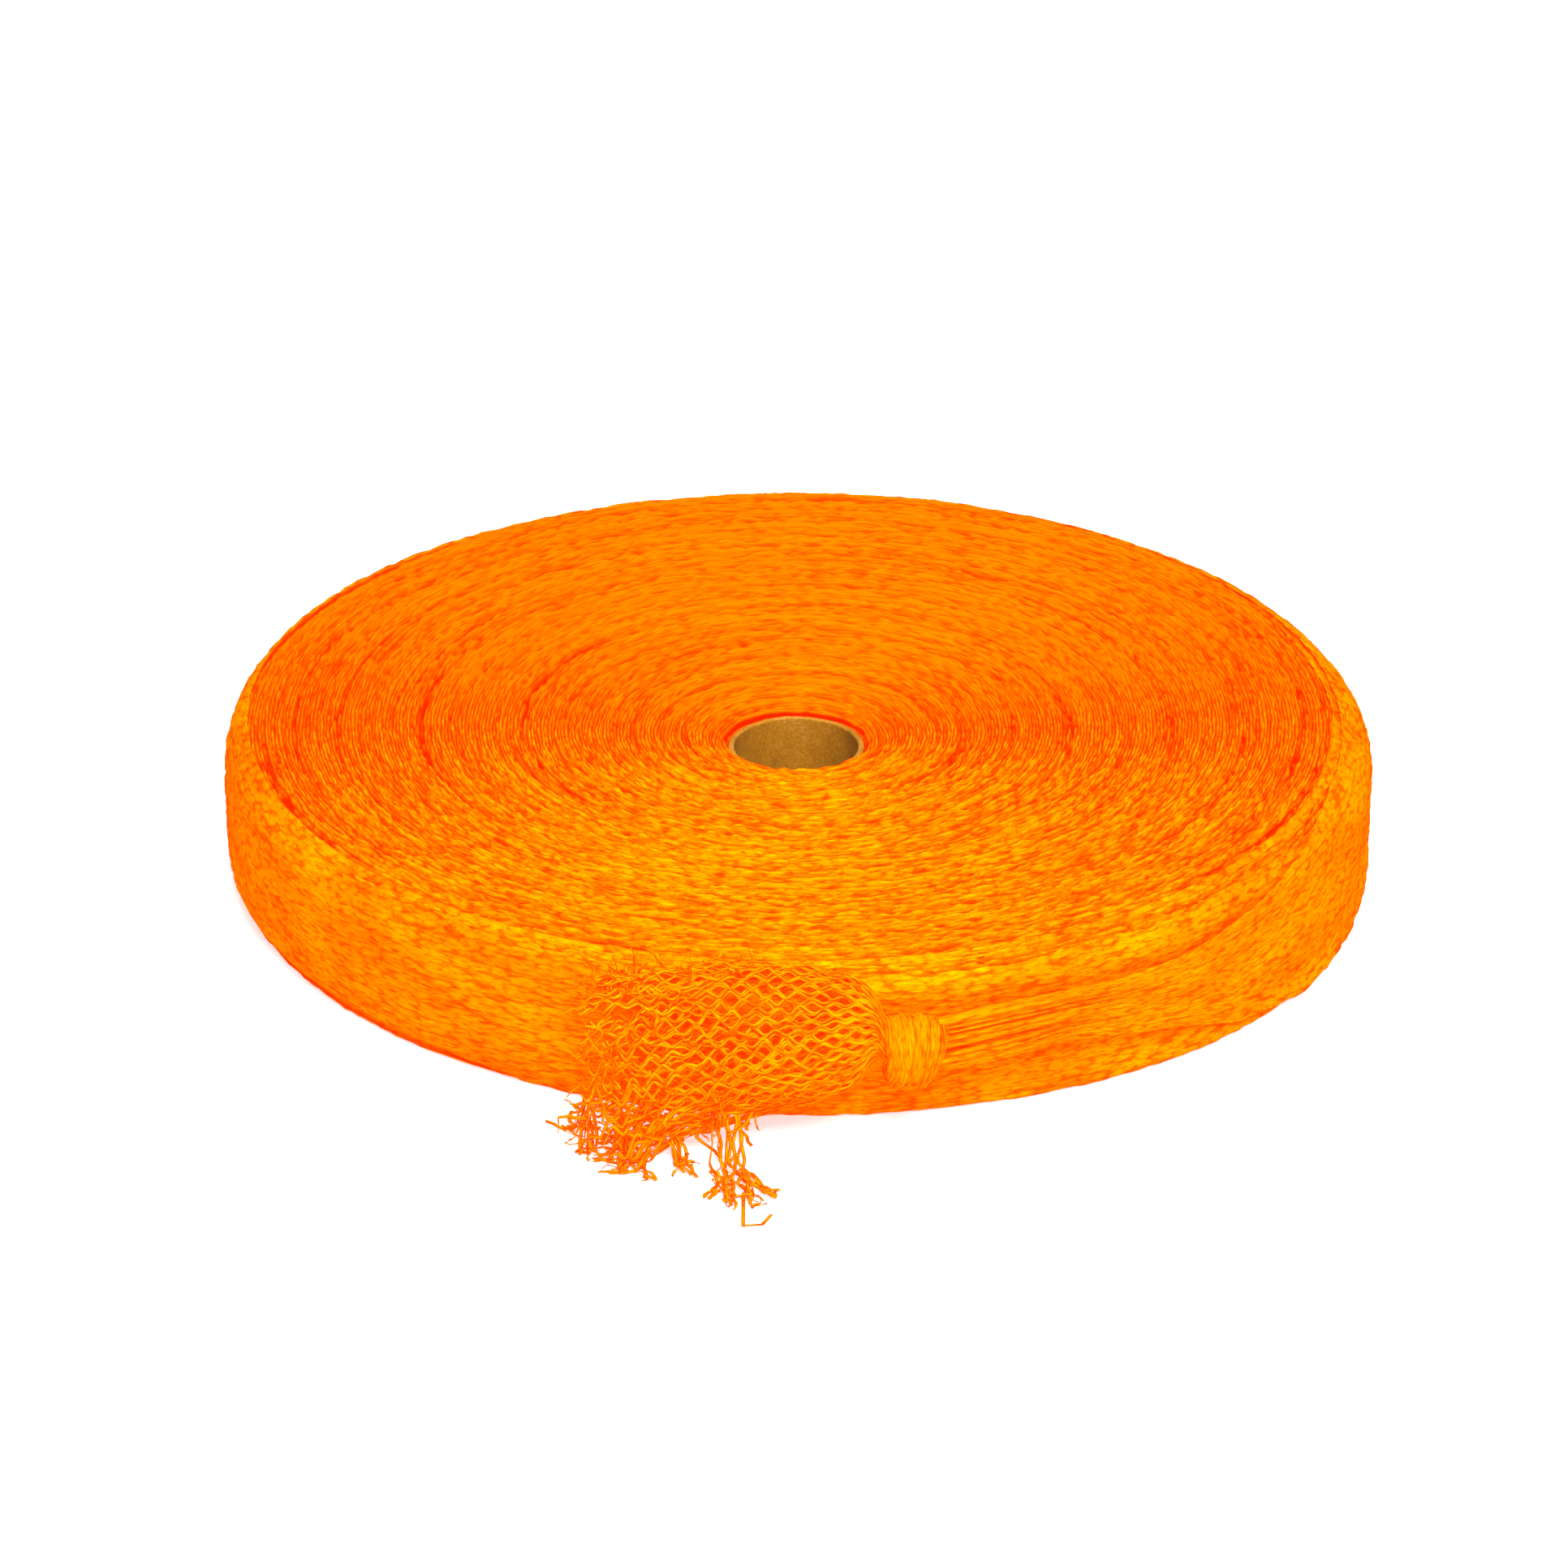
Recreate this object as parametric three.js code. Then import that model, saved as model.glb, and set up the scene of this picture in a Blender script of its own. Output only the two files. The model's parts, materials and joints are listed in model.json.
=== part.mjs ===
// A roll of knitted tubular net on a paper core, lying flat, with the free end tied in a knot and
// left open as a frayed bell. Millimetres, +Z up. The origin is the centre of mass, on the axis of
// the core's bore, and the free end lies on the -Y side.
import * as THREE from "three";

// Driving dimensions
const ROLL_RADIUS = 235;
const ROLL_HEIGHT = 62;
const MASS_HEIGHT = 29; // of the centre of mass above the base
const CORE_BORE_RADIUS = 25.4;
const CORE_WALL = 2.4;
const CORE_LENGTH = 45;
const TAPE_THICKNESS = 0.2;
const GAP = 0.35; // left between pieces that touch
const TURN_THICKNESS = 3; // the last turn, with its two loose walls of net
const TURN_MIDDLE = 26; // height above the base of the middle of the last turn
const TURN_HALF = 24; // and half its own height
const LEADER_START = THREE.MathUtils.degToRad(-39); // where the free end leaves the roll
const LEADER_SWEEP = THREE.MathUtils.degToRad(39); // how far round the roll it lies to the knot
const AROUND = 72; // facets of a full turn

const BASE = -MASS_HEIGHT;
const CORE_RADIUS = CORE_BORE_RADIUS + CORE_WALL;
const FIRST_TURN_RADIUS = CORE_RADIUS + TAPE_THICKNESS + 2 * GAP;
const WOUND_RADIUS = ROLL_RADIUS - 2 * TURN_THICKNESS - 2 * GAP;

// Materials
const kraft = new THREE.MeshStandardMaterial({ color: 0xb98a4e, roughness: 0.9, metalness: 0 });
const tape = new THREE.MeshStandardMaterial({ color: 0xd8c79a, roughness: 0.35, metalness: 0 });
const net = new THREE.MeshStandardMaterial({ color: 0xff7d05, roughness: 0.5, metalness: 0 });

const roll = new THREE.Group();

function place(name, geometry, material) {
  const mesh = new THREE.Mesh(geometry, material);
  mesh.name = name;
  roll.add(mesh);
  return mesh;
}

// A ring about Z from a closed outline of [radius, z] points, listed up the inside and down the outside.
function ring(outline, facets = AROUND) {
  const points = [...outline, outline[0]].map(([r, z]) => new THREE.Vector2(r, z));
  return new THREE.LatheGeometry(points, facets).rotateX(Math.PI / 2).scale(1, -1, 1);
}

// A closed skin over rings of points, which all have the same number of points, with flat ends.
function loft(rings) {
  const count = rings[0].length;
  const positions = rings.flat().flatMap((p) => [p.x, p.y, p.z]);
  const index = [];
  for (let i = 0; i + 1 < rings.length; i++)
    for (let k = 0; k < count; k++) {
      const a = i * count + k;
      const b = i * count + ((k + 1) % count);
      index.push(a, b, b + count, a, b + count, a + count);
    }
  for (const [at, turned] of [[0, true], [rings.length - 1, false]]) {
    const middle = new THREE.Vector3();
    rings[at].forEach((p) => middle.addScaledVector(p, 1 / count));
    positions.push(middle.x, middle.y, middle.z);
    const tip = positions.length / 3 - 1;
    for (let k = 0; k < count; k++) {
      const a = at * count + k;
      const b = at * count + ((k + 1) % count);
      if (turned) index.push(b, a, tip);
      else index.push(a, b, tip);
    }
  }
  const geometry = new THREE.BufferGeometry();
  geometry.setAttribute("position", new THREE.Float32BufferAttribute(positions, 3));
  geometry.setIndex(index);
  return geometry.toNonIndexed();
}

// A ring of points about a middle: across is half its depth along side, up is half its height along Z.
function section(middle, side, across, up, power, count = 12) {
  return Array.from({ length: count }, (_, k) => {
    const turn = (2 * Math.PI * k) / count;
    const c = Math.cos(turn);
    const s = Math.sin(turn);
    return middle
      .clone()
      .addScaledVector(side, across * Math.sign(c) * Math.abs(c) ** power)
      .add(new THREE.Vector3(0, 0, up * Math.sign(s) * Math.abs(s) ** power));
  });
}

const outward = (angle) => new THREE.Vector3(Math.cos(angle), Math.sin(angle), 0);
const mix = THREE.MathUtils.lerp;

// ---- core ----

function core() {
  const outer = CORE_RADIUS;
  const top = BASE + CORE_LENGTH;
  return ring([[CORE_BORE_RADIUS, BASE], [CORE_BORE_RADIUS, top], [outer, top], [outer, BASE]], 48);
}

// A strip of adhesive tape that holds the net's first end on the core.
function startTape() {
  const arc = THREE.MathUtils.degToRad(70);
  const inner = CORE_RADIUS + GAP;
  const steps = 12;
  const low = BASE + 6;
  const high = BASE + CORE_LENGTH - 6;
  const rings = Array.from({ length: steps + 1 }, (_, i) => {
    const side = outward((arc * i) / steps);
    const near = side.clone().multiplyScalar(inner);
    const far = side.clone().multiplyScalar(inner + TAPE_THICKNESS);
    return [[near, low], [near, high], [far, high], [far, low]].map(
      ([p, z]) => new THREE.Vector3(p.x, p.y, z),
    );
  });
  return loft(rings);
}

// ---- wound net: one length of net, divided where the winding tension changed ----

// The radius of each boundary between bands as a share of the roll's radius, and the height of the
// flat face there: the tighter inner turns are narrower, so the face is dished towards the core.
const BOUNDARIES = [
  { share: FIRST_TURN_RADIUS / ROLL_RADIUS, height: 49.5 },
  { share: 0.283, height: 52.5 },
  { share: 0.474, height: 55.5 },
  { share: 0.65, height: 58.5 },
  { share: 0.885, height: 61.5 },
  { share: WOUND_RADIUS / ROLL_RADIUS, height: ROLL_HEIGHT },
];
const BAND_EDGE = 2; // of the bevel where a band meets the next one
const SHOULDER = 11; // of the round outer edge of the roll

function band(from, to, last) {
  const inner = from.share * ROLL_RADIUS + GAP;
  const outer = to.share * ROLL_RADIUS;
  const low = BASE + from.height;
  const high = BASE + to.height;
  const round = last ? SHOULDER : BAND_EDGE;
  return ring([
    [inner, BASE],
    [inner, low - BAND_EDGE],
    [inner + BAND_EDGE, low],
    [outer - round, high],
    [outer - round * 0.3, high - round * 0.3],
    [outer, high - round],
    [outer, BASE + (last ? 4 : 0)],
    ...(last ? [[outer - 4, BASE]] : []),
  ]);
}

// The last full turn, from where the free end leaves it back to one thickness further in.
function lastTurn() {
  const steps = AROUND;
  const rings = Array.from({ length: steps + 1 }, (_, i) => {
    const share = i / steps;
    const angle = LEADER_START + 2 * Math.PI * share * 0.996;
    const middle = ROLL_RADIUS - TURN_THICKNESS / 2 - share * (TURN_THICKNESS + GAP);
    const side = outward(angle);
    const at = side.clone().multiplyScalar(middle).setZ(BASE + TURN_MIDDLE);
    return section(at, side, TURN_THICKNESS / 2 - GAP / 2, TURN_HALF, 0.5, 8);
  });
  return loft(rings.reverse());
}

// ---- free end ----

const KNOT_ANGLE = LEADER_START - LEADER_SWEEP;
const KNOT_RADIUS = 14; // outside of the turn of net that grips the neck
const NECK_RADIUS = 7.2;
const KNOT_LENGTH = 22;
const KNOT_HEIGHT = 37; // of the middle of the knot above the base
const NECK_TIP = 10; // from the knot to the fold where the bell swings
const TIP_RADIUS = 0.6;
const knotSide = outward(KNOT_ANGLE);
const knotAlong = new THREE.Vector3(Math.sin(KNOT_ANGLE), -Math.cos(KNOT_ANGLE), 0);
const knotRight = knotSide
  .clone()
  .multiplyScalar(ROLL_RADIUS + KNOT_RADIUS + 0.5)
  .setZ(BASE + KNOT_HEIGHT);
const knotLeft = knotRight.clone().addScaledVector(knotAlong, KNOT_LENGTH);
const fold = knotLeft.clone().add(new THREE.Vector3(-NECK_TIP, 0, 0));

// The flattened tube, which narrows and thickens as it is gathered towards the knot.
function leaderStrap() {
  const steps = 18;
  const clear = THREE.MathUtils.degToRad(0.35);
  const rings = Array.from({ length: steps + 1 }, (_, i) => {
    const share = i / steps;
    const angle = mix(LEADER_START - clear, KNOT_ANGLE + 0.004, share);
    const gather = THREE.MathUtils.smoothstep(share, 0.2, 1);
    const across = mix(TURN_THICKNESS / 2 - GAP / 2, NECK_RADIUS, gather * gather);
    const away = mix(-TURN_THICKNESS / 2, KNOT_RADIUS + 0.5, share ** 1.6);
    const at = outward(angle).multiplyScalar(ROLL_RADIUS + away);
    at.setZ(BASE + mix(TURN_MIDDLE, KNOT_HEIGHT, gather));
    const up = mix(TURN_HALF, NECK_RADIUS * 1.2, gather);
    return section(at, outward(angle), across, up, mix(0.5, 1, gather));
  });
  return loft(rings);
}

// The gathered net inside the knot, which comes out of it and thins to the fold.
function gatheredNeck() {
  const stations = [GAP + 0.2, KNOT_LENGTH / 2, KNOT_LENGTH];
  const rings = stations.map((along) =>
    section(knotRight.clone().addScaledVector(knotAlong, along), knotSide, NECK_RADIUS, NECK_RADIUS, 1),
  );
  const tip = fold.clone().add(new THREE.Vector3(GAP, 0, 0));
  rings.push(section(tip, new THREE.Vector3(0, -1, 0), TIP_RADIUS, TIP_RADIUS, 1));
  return loft(rings);
}

// The turn of net round the neck, as a barrel with round edges.
function knotWrap() {
  const inner = NECK_RADIUS + GAP * 1.3;
  const half = KNOT_LENGTH / 2 - 1.5;
  const barrel = ring(
    [
      [inner, -half],
      [inner, half],
      [inner + 2.5, half + 1],
      [KNOT_RADIUS - 1, half * 0.7],
      [KNOT_RADIUS, 0],
      [KNOT_RADIUS - 1, -half * 0.7],
      [inner + 2.5, -half - 1],
    ],
    24,
  );
  const turn = new THREE.Quaternion().setFromUnitVectors(new THREE.Vector3(0, 0, 1), knotAlong);
  const middle = knotRight.clone().lerp(knotLeft, 0.5);
  return barrel.applyQuaternion(turn).translate(middle.x, middle.y, middle.z);
}

// The open end of the tube past the fold: distance from the fold, half depth and half height.
const BELL = [
  { along: GAP, across: TIP_RADIUS, up: TIP_RADIUS },
  { along: 6, across: 4.5, up: 6 },
  { along: 16, across: 9, up: 15 },
  { along: 34, across: 12, up: 25 },
  { along: 58, across: 13, up: 31 },
  { along: 92, across: 13, up: 32 },
];
const BELL_WALL = 2.4;
const BELL_POINTS = 20;
const BELL_DROP = 5; // of the mouth's middle below the fold
const bellSide = new THREE.Vector3(0, -1, 0);
const mouth = BELL[BELL.length - 1];

function bellRing({ along, across, up }, inset) {
  const middle = fold.clone().add(new THREE.Vector3(-along, 0, (-BELL_DROP * along) / mouth.along));
  middle.y = Math.min(middle.y, -ROLL_RADIUS - 1 - across);
  const points = section(middle, bellSide, across - inset, up - inset, 1, BELL_POINTS);
  return points.map((p) => p.setZ(Math.max(p.z, BASE + inset)));
}

// A flattened bag of one wall thickness, open at the end away from the knot.
function netBell() {
  const outside = BELL.map((station) => bellRing(station, 0));
  const inside = BELL.slice(1).map((station) => bellRing(station, BELL_WALL));
  return loft([...outside, ...inside.reverse()]);
}

// The cut yarns that hang from the mouth and lie in front of it.
function frayedEnds() {
  const outline = new THREE.Shape();
  outline.moveTo(fold.x - 92, -256);
  outline.lineTo(fold.x - 34, -256);
  outline.quadraticCurveTo(-6, -285, -16, -314);
  outline.quadraticCurveTo(-44, -302, -86, -262);
  const geometry = new THREE.ExtrudeGeometry(outline, { depth: 3, bevelEnabled: false, curveSegments: 5 });
  return geometry.translate(0, 0, BASE);
}

place("paper_core", core(), kraft);
place("start_tape", startTape(), tape);
BOUNDARIES.slice(1).forEach((to, i) => {
  const last = i === BOUNDARIES.length - 2;
  place(`wound_net_${i + 1}`, band(BOUNDARIES[i], to, last), net);
});
place("last_turn", lastTurn(), net);
place("leader_strap", leaderStrap(), net);
place("gathered_neck", gatheredNeck(), net);
place("knot_wrap", knotWrap(), net);
place("net_bell", netBell(), net);
place("frayed_ends", frayedEnds(), net);

export default roll;
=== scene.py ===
"""A flat roll of orange knitted tubular net on a paper core, its free end tied in a knot.

Shapes are worked out in millimetres in the frame of the CAD model, and every piece follows the
place and size of the CAD node that it stands for.
"""
import json
import math

import bpy
import numpy as np
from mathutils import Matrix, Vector


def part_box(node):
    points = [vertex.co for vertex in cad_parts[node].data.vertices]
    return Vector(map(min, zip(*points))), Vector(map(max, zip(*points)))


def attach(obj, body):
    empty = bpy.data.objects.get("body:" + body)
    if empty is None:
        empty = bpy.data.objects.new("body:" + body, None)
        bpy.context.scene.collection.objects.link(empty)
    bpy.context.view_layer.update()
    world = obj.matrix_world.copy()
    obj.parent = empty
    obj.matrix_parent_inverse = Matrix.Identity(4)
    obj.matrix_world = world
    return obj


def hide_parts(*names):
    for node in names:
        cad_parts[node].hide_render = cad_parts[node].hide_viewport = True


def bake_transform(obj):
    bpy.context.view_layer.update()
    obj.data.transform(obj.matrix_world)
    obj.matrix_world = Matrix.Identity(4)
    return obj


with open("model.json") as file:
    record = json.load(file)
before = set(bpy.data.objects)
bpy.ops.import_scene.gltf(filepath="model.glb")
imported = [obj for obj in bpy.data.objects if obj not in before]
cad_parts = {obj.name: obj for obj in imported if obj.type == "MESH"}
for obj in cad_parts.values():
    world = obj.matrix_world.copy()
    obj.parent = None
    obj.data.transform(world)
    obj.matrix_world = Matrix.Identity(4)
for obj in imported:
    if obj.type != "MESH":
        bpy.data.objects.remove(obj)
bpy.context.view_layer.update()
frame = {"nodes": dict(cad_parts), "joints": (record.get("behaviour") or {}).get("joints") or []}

MM = 0.001
rng = np.random.default_rng(7)


# ---- places taken from the frame, in millimetres ----


def box_of(node):
    """Lowest and highest corner of a CAD node."""
    low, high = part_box(node)
    return np.array(low) / MM, np.array(high) / MM


def joint_place(name):
    joint = next(j for j in frame["joints"] if j["name"] == name)
    return np.array(joint["pos_m"]) / MM


BASE = box_of("wound_net_4")[0][2]
PEEL = joint_place("peel")
FOLD = joint_place("bell_fold")
HINGE_STANDOFF = 0.5
ROLL_RADIUS = math.hypot(PEEL[0], PEEL[1]) - HINGE_STANDOFF
LEADER_START = math.atan2(PEEL[1], PEEL[0])
BANDS = [f"wound_net_{i}" for i in range(1, 6)]
BAND_RADII = [box_of(band)[1][0] for band in BANDS]
BAND_TOPS = [box_of(band)[1][2] for band in BANDS]
CORE_RADIUS = box_of("paper_core")[1][0]
CORE_TOP = box_of("paper_core")[1][2]
CORE_WALL = 2.4
KNOT = sum(box_of("knot_wrap")) / 2
KNOT_ANGLE = math.atan2(KNOT[1], KNOT[0])

UP = np.array([0, 0, 1.0])
TURN = 1.4  # radial thickness of one turn of flattened net
FIRST_TURN = CORE_RADIUS + 0.9
YARN_STEP = 2.2  # distance between points along a yarn
ROW_STEP = 1.5  # distance between yarn rows on the outer faces
STRIP_HEIGHT = 60.4
STRIP_THICKNESS = 2.7
STITCH_LENGTH = 6.2
STITCH_WIDTH = 1.5


# ---- numbers and meshes ----


class Wander:
    """A smooth random value from -1 to 1 along a length, with a new value every step."""

    def __init__(self, step, count=40000):
        self.step = step
        self.values = rng.uniform(-1, 1, count)

    def at(self, length):
        place = np.asarray(length) / self.step
        whole = np.floor(place).astype(int)
        part = place - whole
        part = part * part * (3 - 2 * part)
        size = len(self.values)
        return self.values[whole % size] * (1 - part) + self.values[(whole + 1) % size] * part


def smoothstep(value, low, high):
    part = np.clip((np.asarray(value) - low) / (high - low), 0, 1)
    return part * part * (3 - 2 * part)


def mix(a, b, part):
    return a + (b - a) * part


def grid_faces(rows, columns, wrap=False, flip=False):
    """Quads over points numbered row by row, closed along each row where wrap is set."""
    i = np.arange(rows - 1)[:, None]
    j = np.arange(columns if wrap else columns - 1)[None, :]
    k = (j + 1) % columns
    corners = [i * columns + j, i * columns + k, (i + 1) * columns + k, (i + 1) * columns + j]
    quads = np.stack([np.broadcast_to(c, (rows - 1, j.shape[1])) for c in corners], -1)
    quads = quads.reshape(-1, 4)
    return quads[:, ::-1] if flip else quads


def unit(vectors):
    return vectors / np.maximum(np.linalg.norm(vectors, axis=-1, keepdims=True), 1e-9)


def grid_normals(points):
    """Unit normals of a grid of points whose rows are closed rings."""
    down = np.gradient(points, axis=0)
    across = np.roll(points, -1, axis=1) - np.roll(points, 1, axis=1)
    return unit(np.cross(across, down))


def make_piece(name, parts, material):
    """One object from parts of (points in mm, quads, lay), where lay is what the material reads; its
    third value sets the painted shade, low values darkest.
    """
    points = np.concatenate([part[0].reshape(-1, 3) for part in parts])
    lay = np.concatenate([part[2].reshape(-1, 3) for part in parts])
    starts = np.cumsum([0] + [part[0].reshape(-1, 3).shape[0] for part in parts])
    quads = np.concatenate([part[1] + start for part, start in zip(parts, starts)])
    mesh = bpy.data.meshes.new(name)
    mesh.vertices.add(len(points))
    mesh.vertices.foreach_set("co", (points * MM).astype(np.float32).ravel())
    mesh.loops.add(quads.size)
    mesh.loops.foreach_set("vertex_index", quads.astype(np.int32).ravel())
    mesh.polygons.add(len(quads))
    mesh.polygons.foreach_set("loop_start", np.arange(0, quads.size, 4, dtype=np.int32))
    mesh.polygons.foreach_set("use_smooth", np.ones(len(quads), bool))
    mesh.update(calc_edges=True)
    attribute = mesh.attributes.new("lay", "FLOAT_VECTOR", "POINT")
    attribute.data.foreach_set("vector", lay.astype(np.float32).ravel())
    mesh.validate()
    piece = bpy.data.objects.new(name, mesh)
    bpy.context.collection.objects.link(piece)
    mesh.materials.append(material)
    return piece


# ---- materials ----


def new_material(name, roughness, specular):
    """A material with its nodes, its links and its shader."""
    material = bpy.data.materials.new(name)
    material.use_nodes = True
    nodes = material.node_tree.nodes
    shader = nodes["Principled BSDF"]
    shader.inputs["Roughness"].default_value = roughness
    shader.inputs["Specular IOR Level"].default_value = specular
    return material, nodes, material.node_tree.links, shader


def add_node(nodes, kind, **values):
    """A node with the given inputs and settings."""
    node = nodes.new(kind)
    for key, value in values.items():
        if key in node.inputs:
            node.inputs[key].default_value = value
        else:
            setattr(node, key, value)
    return node


def stretched_noise(nodes, links, vector, scale, detail=2.0):
    """Noise over the lay coordinates, stretched by a scale for each of them."""
    mapping = add_node(nodes, "ShaderNodeMapping", Scale=scale)
    noise = add_node(nodes, "ShaderNodeTexNoise", Scale=1.0, Detail=detail)
    links.new(vector, mapping.inputs["Vector"])
    links.new(mapping.outputs["Vector"], noise.inputs["Vector"])
    return noise.outputs["Fac"]


def colour_ramp(nodes, links, factor, stops):
    ramp = nodes.new("ShaderNodeValToRGB")
    while len(ramp.color_ramp.elements) < len(stops):
        ramp.color_ramp.elements.new(0.5)
    for element, (position, colour) in zip(ramp.color_ramp.elements, stops):
        element.position = position
        element.color = (*colour, 1)
    links.new(factor, ramp.inputs["Fac"])
    return ramp.outputs["Color"]


def stitch_pattern(nodes, links, vector):
    """Distance from the middle of the nearest stitch: stitches are longer than they are wide."""
    mapping = add_node(nodes, "ShaderNodeMapping", Scale=(1 / STITCH_LENGTH, 1 / STITCH_WIDTH, 0.0))
    cells = add_node(nodes, "ShaderNodeTexVoronoi", Scale=1.0, Randomness=0.75)
    links.new(vector, mapping.inputs["Vector"])
    links.new(mapping.outputs["Vector"], cells.inputs["Vector"])
    return cells.outputs["Distance"]


def multiply(nodes, links, one, other):
    product = add_node(nodes, "ShaderNodeMix", data_type="RGBA", blend_type="MULTIPLY")
    product.inputs["Factor"].default_value = 1.0
    links.new(one, product.inputs[6])
    links.new(other, product.inputs[7])
    return product.outputs[2]


def net_material():
    """Tape yarn: bright crests, with painted red-orange shade in the pits between its stitches and
    along the low parts of its relief, and a painted red glow.
    """
    material, nodes, links, shader = new_material("knitted_net", 0.5, 0.0)
    lay = add_node(nodes, "ShaderNodeAttribute", attribute_name="lay")
    height = nodes.new("ShaderNodeSeparateXYZ")
    links.new(lay.outputs["Vector"], height.inputs["Vector"])
    stitches = stitch_pattern(nodes, links, lay.outputs["Vector"])
    streaks = stretched_noise(nodes, links, lay.outputs["Vector"], (0.3, 2.2, 0.0), 3.0)
    patches = stretched_noise(nodes, links, lay.outputs["Vector"], (0.02, 0.05, 0.0), 2.0)
    tone = add_node(nodes, "ShaderNodeMath", operation="MULTIPLY_ADD")
    tone.inputs[1].default_value = 0.6
    links.new(streaks, tone.inputs[0])
    links.new(patches, tone.inputs[2])
    yarn = colour_ramp(
        nodes,
        links,
        tone.outputs["Value"],
        [(0.55, (1.0, 0.165, 0.0)), (0.78, (1.0, 0.21, 0.0)), (1.0, (1.0, 0.29, 0.0))],
    )
    # Painted shade: the pits between stitches are darkened towards red-orange, as shade in them would
    # be.
    painted_pit_shade = colour_ramp(
        nodes,
        links,
        stitches,
        [(0.2, (1.0, 1.0, 1.0)), (0.55, (1.0, 0.86, 1.0)), (0.78, (1.0, 0.35, 1.0))],
    )
    # Painted shade: the lower the lay height, in valleys, grooves and folds, the darker and redder
    # the net; from 0.75 up there is none.
    painted_relief_shade = colour_ramp(
        nodes,
        links,
        height.outputs["Z"],
        [(0.0, (1.0, 0.02, 0.0)), (0.35, (1.0, 0.48, 0.0)), (0.75, (1.0, 1.0, 1.0))],
    )
    speckle = colour_ramp(
        nodes,
        links,
        stretched_noise(nodes, links, lay.outputs["Vector"], (0.26, 1.1, 0.0), 2.0),
        [(0.3, (1.0, 0.4, 1.0)), (0.44, (1.0, 0.88, 1.0)), (0.66, (1.0, 1.0, 1.0))],
    )
    yarn_with_painted_pit_shade = multiply(nodes, links, multiply(nodes, links, yarn, painted_pit_shade), speckle)
    links.new(multiply(nodes, links, yarn_with_painted_pit_shade, painted_relief_shade), shader.inputs["Base Color"])
    bump = add_node(nodes, "ShaderNodeBump", Strength=0.45, Distance=0.0006)
    raised = add_node(nodes, "ShaderNodeMath", operation="SUBTRACT")
    links.new(streaks, raised.inputs[0])
    links.new(stitches, raised.inputs[1])
    links.new(raised.outputs["Value"], bump.inputs["Height"])
    links.new(bump.outputs["Normal"], shader.inputs["Normal"])
    rough = add_node(nodes, "ShaderNodeMapRange")
    rough.inputs["To Min"].default_value = 0.38
    rough.inputs["To Max"].default_value = 0.6
    links.new(streaks, rough.inputs["Value"])
    links.new(rough.outputs["Result"], shader.inputs["Roughness"])
    shader.inputs["Metallic"].default_value = 0.25
    shader.inputs["Specular Tint"].default_value = (1.0, 0.4, 0.0, 1)
    # Painted glow: a red emission that keeps the net's shaded parts bright red, though the net gives
    # no light.
    shader.inputs["Emission Color"].default_value = (1.0, 0.06, 0.0, 1)
    shader.inputs["Emission Strength"].default_value = 0.35
    return material


def kraft_material():
    """Spirally wound kraft board: brown, with short paper fibres."""
    material, nodes, links, shader = new_material("kraft_board", 0.85, 0.2)
    place = nodes.new("ShaderNodeTexCoord")
    speck = add_node(nodes, "ShaderNodeTexNoise", Scale=900.0, Detail=4.0)
    cloud = add_node(nodes, "ShaderNodeTexNoise", Scale=60.0, Detail=3.0)
    links.new(place.outputs["Object"], speck.inputs["Vector"])
    links.new(place.outputs["Object"], cloud.inputs["Vector"])
    both = add_node(nodes, "ShaderNodeMath", operation="MULTIPLY")
    links.new(speck.outputs["Fac"], both.inputs[0])
    links.new(cloud.outputs["Fac"], both.inputs[1])
    board = colour_ramp(
        nodes,
        links,
        both.outputs["Value"],
        [(0.1, (0.2, 0.075, 0.001)), (0.3, (0.31, 0.125, 0.002)), (0.5, (0.42, 0.19, 0.03))],
    )
    links.new(board, shader.inputs["Base Color"])
    bump = add_node(nodes, "ShaderNodeBump", Strength=0.4, Distance=0.0002)
    links.new(speck.outputs["Fac"], bump.inputs["Height"])
    links.new(bump.outputs["Normal"], shader.inputs["Normal"])
    return material


def tape_material():
    """Plain tan tape with a fine grain."""
    material, nodes, links, shader = new_material("adhesive_tape", 0.35, 0.35)
    place = nodes.new("ShaderNodeTexCoord")
    grain = add_node(nodes, "ShaderNodeTexNoise", Scale=300.0, Detail=3.0)
    links.new(place.outputs["Object"], grain.inputs["Vector"])
    tan = colour_ramp(
        nodes, links, grain.outputs["Fac"], [(0.3, (0.6, 0.48, 0.27)), (0.7, (0.72, 0.6, 0.38))]
    )
    links.new(tan, shader.inputs["Base Color"])
    return material


NET = net_material()
KRAFT = kraft_material()


# ---- camera, floor and light ----


def camera():
    distance = 2.6
    elevation = math.radians(26.2)
    aim = Vector((-0.005, 0, -0.0016))
    data = bpy.data.cameras.new("camera")
    data.lens = 145.5
    data.sensor_width = 36
    made = bpy.data.objects.new("camera", data)
    away = Vector((0, -math.cos(elevation), math.sin(elevation)))
    made.location = aim + away * distance
    made.rotation_euler = (-away).to_track_quat("-Z", "Y").to_euler()
    bpy.context.collection.objects.link(made)
    bpy.context.scene.camera = made


def floor():
    bpy.ops.mesh.primitive_plane_add(size=12, location=(0, 0, (BASE - 0.2) * MM))
    made = bpy.context.object
    made.name = "floor"
    material, _, _, shader = new_material("white_floor", 0.9, 0.1)
    shader.inputs["Base Color"].default_value = (0.62, 0.62, 0.62, 1)
    shader.inputs["Emission Color"].default_value = (1, 1, 1, 1)
    shader.inputs["Emission Strength"].default_value = 0.58
    made.data.materials.append(material)


def area_light(name, place, size, power):
    data = bpy.data.lights.new(name, "AREA")
    data.shape = "DISK"
    data.size = size
    data.energy = power
    made = bpy.data.objects.new(name, data)
    made.location = place
    made.rotation_euler = (-Vector(place)).to_track_quat("-Z", "Y").to_euler()
    bpy.context.collection.objects.link(made)


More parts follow.
